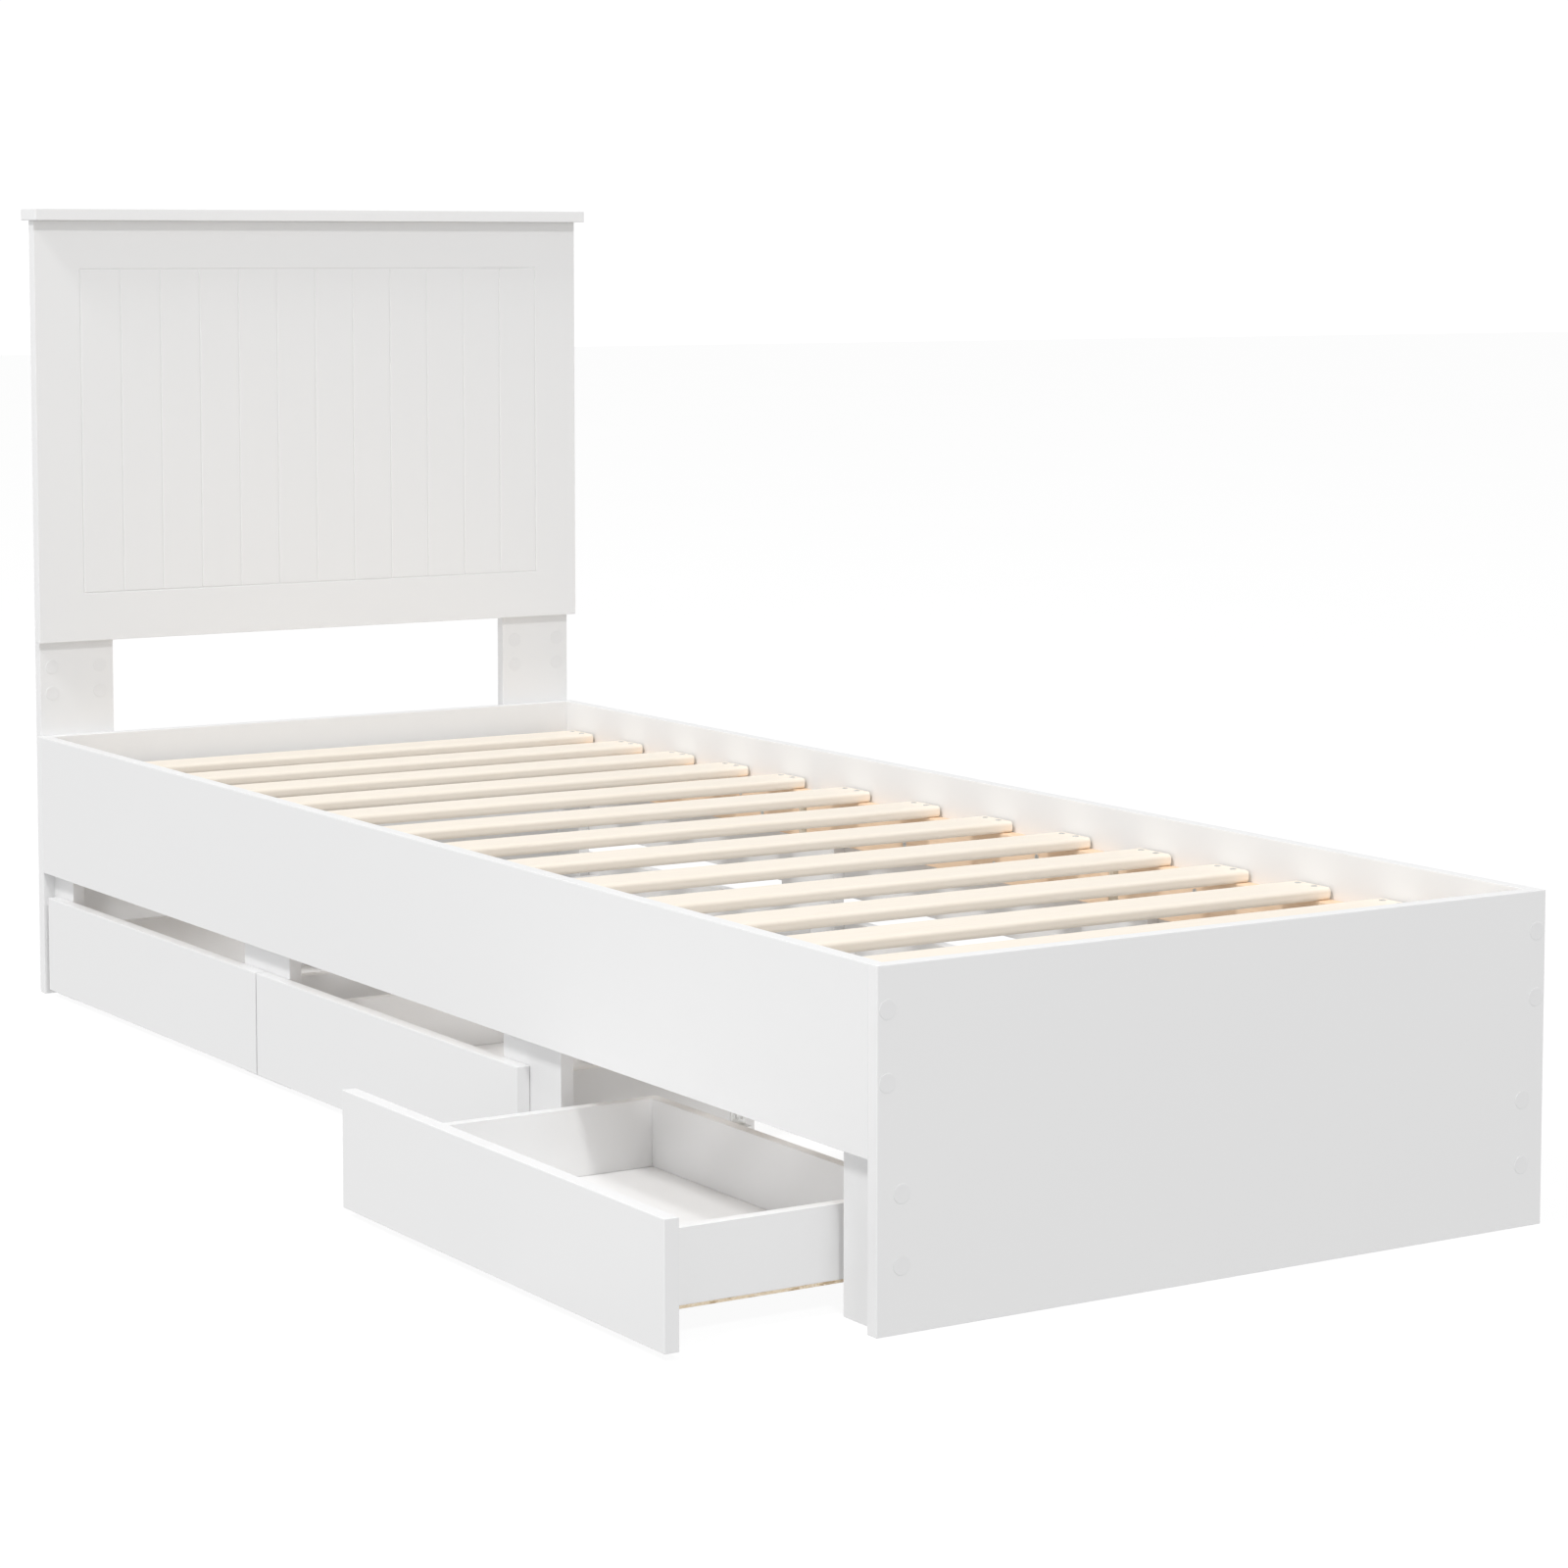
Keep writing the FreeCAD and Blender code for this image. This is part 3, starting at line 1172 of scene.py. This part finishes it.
@dataclass
class DividerAngles:
    """Small folded angles near the inner ends of the dividers."""

    shop: PaintShop
    size: float = 0.018
    shelf: float = 0.016
    sheet: float = 0.0015
    low_z: float = 0.038
    inset: float = 0.030
    slot_places: tuple[float, ...] = (0.3, 0.7)
    slot_low: Point = (-0.0015, -0.004, 0.007)
    slot_high: Point = (0.0015, 0.002, 0.014)

    def build(self) -> None:
        """Makes an angle on each divider."""
        angles = [self.build_angle(node, side) for node in DIVIDERS for side in SIDES.values()]
        joined = Workshop.join("divider_angles", angles)
        Workshop.dress(joined, self.shop.zinc)
        hand_over(joined, BED, "steel")

    def build_angle(self, node: str, side: float) -> bpy.types.Object:
        """Makes one folded angle with slotted holes.

        Args:
            node: the divider that it is screwed to.
            side: -1 for the left board, 1 for the right one.

        Returns:
            The angle.
        """
        low, _ = reach(node)
        outer = abs(low.x) - DIVIDER_LENGTH + self.inset
        x0, x1 = sorted((side * outer, side * (outer - self.size)))
        bend = self.low_z + self.sheet
        corner = Vector((x0, low.y - self.sheet, self.low_z))
        angle = Workshop.block("angle", corner, Vector((x1, low.y, self.low_z + self.size)))
        with Workshop.editing(angle):
            bpy.ops.mesh.select_all(action="SELECT")
            bpy.ops.mesh.bisect(plane_co=(0.0, 0.0, bend), plane_no=(0.0, 0.0, 1.0))
            Workshop.pick_faces(angle, lambda c, n: n.y < -0.9 and c.z < bend)
            step = (0.0, self.sheet - self.shelf, 0.0)
            bpy.ops.mesh.extrude_region_move(TRANSFORM_OT_translate={"value": step})
        for share in self.slot_places:
            spot = Vector((x0 + self.size * share, low.y, self.low_z))
            slot = Workshop.block("slot", spot + Vector(self.slot_low), spot + Vector(self.slot_high))
            Workshop.cut(angle, slot)
        return angle


# --------------------------------------------------------------------------
# Slatted deck
# --------------------------------------------------------------------------


@dataclass
class SlattedDeck:
    """Pine slats on two rows of battens."""

    shop: PaintShop
    offsets: tuple[float, ...] = (0.0735, 0.2227, 0.3690, 0.5024, 0.6355, 0.7685, 0.9015)
    middle: float = 0.955
    slat_width: float = 0.058
    round_edge: float = 0.0046
    end_arris: float = 0.0006
    batten_gap: float = 0.018
    batten_gap_y: float = 0.318
    batten_arris: float = 0.0010

    def build(self) -> None:
        """Makes the slats, battens and their screws."""
        places = sorted(self.middle + way * dy for dy in self.offsets for way in BOTH_WAYS)
        self.build_slats(places)
        for side in SIDES:
            self.build_batten("slat_batten_" + side)
        DeckFixings(self.shop).build(places)

    def build_slats(self, places: Sequence[float]) -> None:
        """Makes one slat and copies it to every place.

        Args:
            places: each slat's middle along Y.
        """
        low, high = reach(SLAT_HALVES[0])
        length = high.x - low.x
        low.y, high.y = places[0] - self.slat_width / 2.0, places[0] + self.slat_width / 2.0
        first = Workshop.block("slat_01", low, high)
        Workshop.bevel(first, lambda a, b: abs(a.x - b.x) > length * 0.9, self.round_edge, 6)
        Workshop.bevel(first, lambda a, b: abs(a.x - b.x) < TINY, self.end_arris, 2)
        Workshop.dress(first, self.shop.slat, self.shop.slat_end)
        Workshop.paint(first, lambda c, n: abs(n.x) > 0.95)
        pieces = [first]
        for number, place in enumerate(places[1:], 2):
            pieces.append(Workshop.copy(first, f"slat_{number:02d}", (0.0, place - places[0], 0.0)))
        half = len(pieces) // 2
        for number, piece in enumerate(pieces):
            stands_for = {0: SLAT_HALVES[:1], half: SLAT_HALVES[1:]}.get(number, ())
            hand_over(piece, BED, "slat_pine", *stands_for)

    def build_batten(self, node: str) -> None:
        """Makes a row of three batten lengths.

        Args:
            node: the row's node.
        """
        low, high = reach(node)
        middle = (low.y + high.y) / 2.0
        near = self.batten_gap_y - self.batten_gap / 2.0
        far = self.batten_gap_y + self.batten_gap / 2.0
        spans = ((low.y, middle - far), (middle - near, middle + near), (middle + far, high.y))
        lengths = []
        for y0, y1 in spans:
            corners = Vector((low.x, y0, low.z)), Vector((high.x, y1, high.z))
            length = Workshop.block("length", *corners)
            Workshop.soften(length, self.batten_arris)
            lengths.append(length)
        row = Workshop.join("row_" + node, lengths)
        Workshop.dress(row, self.shop.batten, self.shop.slat_end)
        Workshop.paint(row, lambda c, n: abs(n.y) > 0.95)
        hand_over(row, BED, "batten_pine", node)


# --------------------------------------------------------------------------
# Drawers
# --------------------------------------------------------------------------


@dataclass(frozen=True)
class Castor:
    """A plain wheel on an axle between two cheeks, under a screwed plate."""

    radius: float = 0.011
    width: float = 0.012
    tread_round: float = 0.0010
    hub: tuple[tuple[float, float], ...] = (
        (0.0022, 0.0),
        (0.0004, -0.0012),
        (0.0032, 0.0),
        (0.0003, 0.0008),
    )
    hub_radius: float = 0.0066
    sheet: float = 0.002
    plate_half: tuple[float, float] = (0.017, 0.014)
    plate_corner: float = 0.004
    plate_arris: float = 0.0004
    cheek_half: float = 0.008
    cheek_below: float = 0.004
    cheek_corner: float = 0.0038
    cheek_lap: float = 0.0002
    play: float = 0.001
    axle_radius: float = 0.002
    screw_x: float = 0.0125
    screw_radius: float = 0.0028
    screw_height: float = 0.0007

    def build_wheel(self, x: float, y: float) -> bpy.types.Object:
        """Makes a wheel with a rounded tread and sunk hub faces.

        Args:
            x: its centre along X.
            y: its centre along Y.

        Returns:
            The wheel.
        """
        wheel = Workshop.rod("wheel", (x, y, self.radius), self.radius, self.width, Axis.Y, 48)
        Workshop.bevel(wheel, lambda a, b: abs(a.y - b.y) < TINY, self.tread_round, 3)
        for way in BOTH_WAYS:
            Workshop.inset(wheel, lambda c, n: n.y * way > FACING, *self.hub)
        Workshop.smooth(wheel, 32.0)
        return wheel

    def build_bracket(self, x: float, y: float, top: float) -> bpy.types.Object:
        """Makes a bracket: plate with rounded corners, two cheeks and an axle.

        Args:
            x: its centre along X.
            y: its centre along Y.
            top: its top, where it meets the drawer's bottom.

        Returns:
            The bracket.
        """
        under = top - self.sheet
        half_x, half_y = self.plate_half
        corners = Vector((x - half_x, y - half_y, under)), Vector((x + half_x, y + half_y, top))
        plate = Workshop.block("plate", *corners)
        Workshop.bevel(plate, lambda a, b: abs(a.z - b.z) > self.sheet * 0.5, self.plate_corner, 4)
        Workshop.bevel(plate, lambda a, b: max(a.z, b.z) < under + TINY, self.plate_arris, 2)
        inner = self.width / 2.0 + self.play
        outer = inner + self.sheet
        axle = Workshop.rod("axle", (x, y, self.radius), self.axle_radius, 2.0 * outer, Axis.Y, 20)
        screw = ScrewHead("plate_screw", self.screw_radius, self.screw_height, Axis.Z, -1.0)
        parts = [plate, axle]
        for way in BOTH_WAYS:
            y0, y1 = sorted((y + way * inner, y + way * outer))
            parts.append(self.build_cheek(x, y0, y1, under))
            parts.append(screw.build((x + way * self.screw_x, y, under)))
        return Workshop.join("bracket", parts)

    def build_cheek(self, x: float, y0: float, y1: float, top: float) -> bpy.types.Object:
        """Makes one upright cheek with rounded lower corners.

        Args:
            x: its centre along X.
            y0: its lower end along Y.
            y1: its upper end along Y.
            top: the plate's underside.

        Returns:
            The cheek.
        """
        foot = self.radius - self.cheek_below
        low = Vector((x - self.cheek_half, y0, foot))
        cheek = Workshop.block("cheek", low, Vector((x + self.cheek_half, y1, top + self.cheek_lap)))

        def low_corner(a: Vector, b: Vector) -> bool:
            """Returns whether an edge is at the cheek's foot and runs across it."""
            return max(a.z, b.z) < foot + TINY and abs(a.y - b.y) > self.sheet * 0.5

        Workshop.bevel(cheek, low_corner, self.cheek_corner, 5)
        return cheek


@dataclass
class CastorDrawer:
    """A drawer: front, box and four castors."""

    number: int
    shop: PaintShop
    wall: float = 0.012
    wall_arris: float = 0.0005
    wall_lip: float = 0.0006
    raw_lip: float = 0.0002
    castor: Castor = Castor()

    @property
    def stem(self) -> str:
        """Returns the start of the drawer's node names."""
        return f"drawer_{self.number}"

    @property
    def body(self) -> str:
        """Returns the drawer's body."""
        return self.stem + "_body"

    def build(self) -> None:
        """Makes every piece of the drawer."""
        LaminatedBoard(f"{self.stem}_front", self.body).finish(self.shop.laminate, self.shop.band)
        self.build_walls()
        self.build_bottom()
        self.build_castors()

    def build_walls(self) -> None:
        """Makes the two sides and the back."""
        node = f"{self.stem}_walls"
        low, high = reach(node)
        on_left = self.number <= DRAWERS_PER_SIDE
        x0, x1 = (high.x - self.wall, high.x) if on_left else (low.x, low.x + self.wall)
        y0, y1 = low.y + self.wall, high.y - self.wall
        spans = {
            "side_foot": (low, Vector((high.x, y0, high.z))),
            "side_head": (Vector((low.x, y1, low.z)), high),
            "back": (Vector((x0, y0, low.z)), Vector((x1, y1, high.z))),
        }
        for name, span in spans.items():
            label = f"{self.stem}_{name}"
            board = LaminatedBoard(
                node, self.body, "drawer_white", self.wall_arris, self.wall_lip, span, label
            )
            # the walls take the lighter drawer laminate, whose extra lightness is painted light on their
            # shaded insides
            board.finish(self.shop.drawer, self.shop.band, name == "side_foot")

    def build_bottom(self) -> None:
        """Makes the thin bottom: white faces and raw edges."""
        node = f"{self.stem}_bottom"
        bottom = Workshop.block("panel_" + node, *reach(node))
        Workshop.soften(bottom, self.raw_lip, 1)
        # the bottom's faces take the lighter drawer laminate, whose extra lightness is painted light
        Workshop.dress(bottom, self.shop.drawer, self.shop.raw)
        Workshop.paint(bottom, lambda c, n: abs(n.z) < 0.9)
        hand_over(bottom, self.body, "drawer_bottom", node)

    def build_castors(self) -> None:
        """Makes the four brackets and the two pairs of wheels."""
        bracket_node = f"{self.stem}_castor_brackets"
        top = reach(bracket_node)[1].z
        castor = self.castor
        brackets = []
        for tag in ("front", "rear"):
            node = f"{self.stem}_castors_{tag}"
            low, high = reach(node)
            x = (low.x + high.x) / 2.0
            places = (low.y + castor.width / 2.0, high.y - castor.width / 2.0)
            wheels = [castor.build_wheel(x, y) for y in places]
            pair = Workshop.join(f"{self.stem}_wheels_{tag}", wheels)
            Workshop.dress(pair, self.shop.grey_plastic, self.shop.white_plastic)
            Workshop.paint(
                pair, lambda c, n: math.hypot(c.x - x, c.z - castor.radius) < castor.hub_radius
            )
            hand_over(pair, f"{self.stem}_{tag}_wheels", "grey_plastic", node)
            brackets += [castor.build_bracket(x, y, top) for y in places]
        joined = Workshop.join(f"{self.stem}_brackets", brackets)
        Workshop.dress(joined, self.shop.white_plastic)
        hand_over(joined, self.body, "white_plastic", bracket_node)


# --------------------------------------------------------------------------
# Studio
# --------------------------------------------------------------------------


@dataclass(frozen=True)
class SoftLight:
    """A large square lamp."""

    name: str
    place: Point
    target: Point
    size: float
    power: float

    def hang(self) -> None:
        """Puts the lamp in the scene."""
        data = bpy.data.lights.new(self.name, "AREA")
        data.shape = "SQUARE"
        data.size = self.size
        data.energy = self.power
        lamp = bpy.data.objects.new(self.name, data)
        bpy.context.scene.collection.objects.link(lamp)
        lamp.location = self.place
        way = Vector(self.target) - Vector(self.place)
        lamp.rotation_euler = way.to_track_quat("-Z", "Y").to_euler()


@dataclass
class Studio:
    """White floor, soft light and the camera."""

    shop: PaintShop
    floor_size: float = 60.0
    floor_middle: Point = (0.0, 0.9, 0.0)
    horizon: float = 1.06
    zenith: float = 0.60
    nadir: float = 0.50
    upper_fade: tuple[float, float] = (0.10, 0.30)
    lower_fade: tuple[float, float] = (-0.16, -0.04)
    eye: Point = (-2.292682, -2.855002, 0.950764)
    heading: float = 32.067253
    pitch: float = 4.981573
    lens: float = 91.688391
    shift: tuple[float, float] = (0.014420, -0.12)
    lamps: tuple[SoftLight, ...] = (
        SoftLight("overhead_softbox", (-6.6, 0.6, 9.1), (0.0, 0.9, 0.2), 1.7, 480.0),
        SoftLight("front_softbox", (-1.9, -5.0, 5.6), (0.0, 0.9, 0.4), 0.7, 155.0),
    )

    def set_up(self) -> None:
        """Builds the whole studio."""
        self.lay_floor()
        self.paint_sky()
        for lamp in self.lamps:
            lamp.hang()
        self.place_camera()
        bpy.context.scene.view_settings.view_transform = "Standard"

    def lay_floor(self) -> None:
        """Lays the floor."""
        Workshop.clear()
        bpy.ops.mesh.primitive_plane_add(size=self.floor_size, location=self.floor_middle)
        floor = Workshop.settle(bpy.context.object, "studio_floor")
        Workshop.dress(floor, self.shop.floor)
        floor.visible_diffuse = False
        floor.visible_shadow = False

    def paint_sky(self) -> None:
        """Makes the even white surroundings."""
        world = bpy.data.worlds.new("white_surround")
        bench = PaintBench(world)
        way = bench.out(bench.node("ShaderNodeTexCoord"), "Generated")
        height = bench.out(bench.node("ShaderNodeSeparateXYZ", None, {"Vector": way}), "Z")
        upper = (self.zenith - self.horizon) * height.spread(*self.upper_fade)
        lower = (self.nadir - self.horizon) * (1.0 - height.spread(*self.lower_fade))
        values = {"Color": (1.0, 1.0, 1.0, 1.0), "Strength": self.horizon + upper + lower}
        back = bench.node("ShaderNodeBackground", None, values)
        bench.node("ShaderNodeOutputWorld", None, {"Surface": bench.out(back)})
        bpy.context.scene.world = world

    def place_camera(self) -> None:
        """Puts the camera at eye height off the foot end."""
        data = bpy.data.cameras.new("studio_camera")
        data.lens = self.lens
        data.sensor_width = 36.0
        data.shift_x, data.shift_y = self.shift
        data.clip_end = 200.0
        camera = bpy.data.objects.new("studio_camera", data)
        bpy.context.scene.collection.objects.link(camera)
        camera.location = self.eye
        camera.rotation_euler = (math.radians(90.0 - self.pitch), 0.0, math.radians(-self.heading))
        bpy.context.scene.camera = camera


def main() -> None:
    """Builds the bed's looks and the studio, in order."""
    logging.basicConfig(level=logging.INFO, format="%(message)s")
    shop = PaintShop()
    BaseBox(shop).build()
    Headboard(shop).build()
    ScrewCovers(shop).build()
    DividerAngles(shop).build()
    SlattedDeck(shop).build()
    for number in range(1, 2 * DRAWERS_PER_SIDE + 1):
        CastorDrawer(number, shop).build()
    Studio(shop).set_up()


if __name__ == "__main__":
    main()
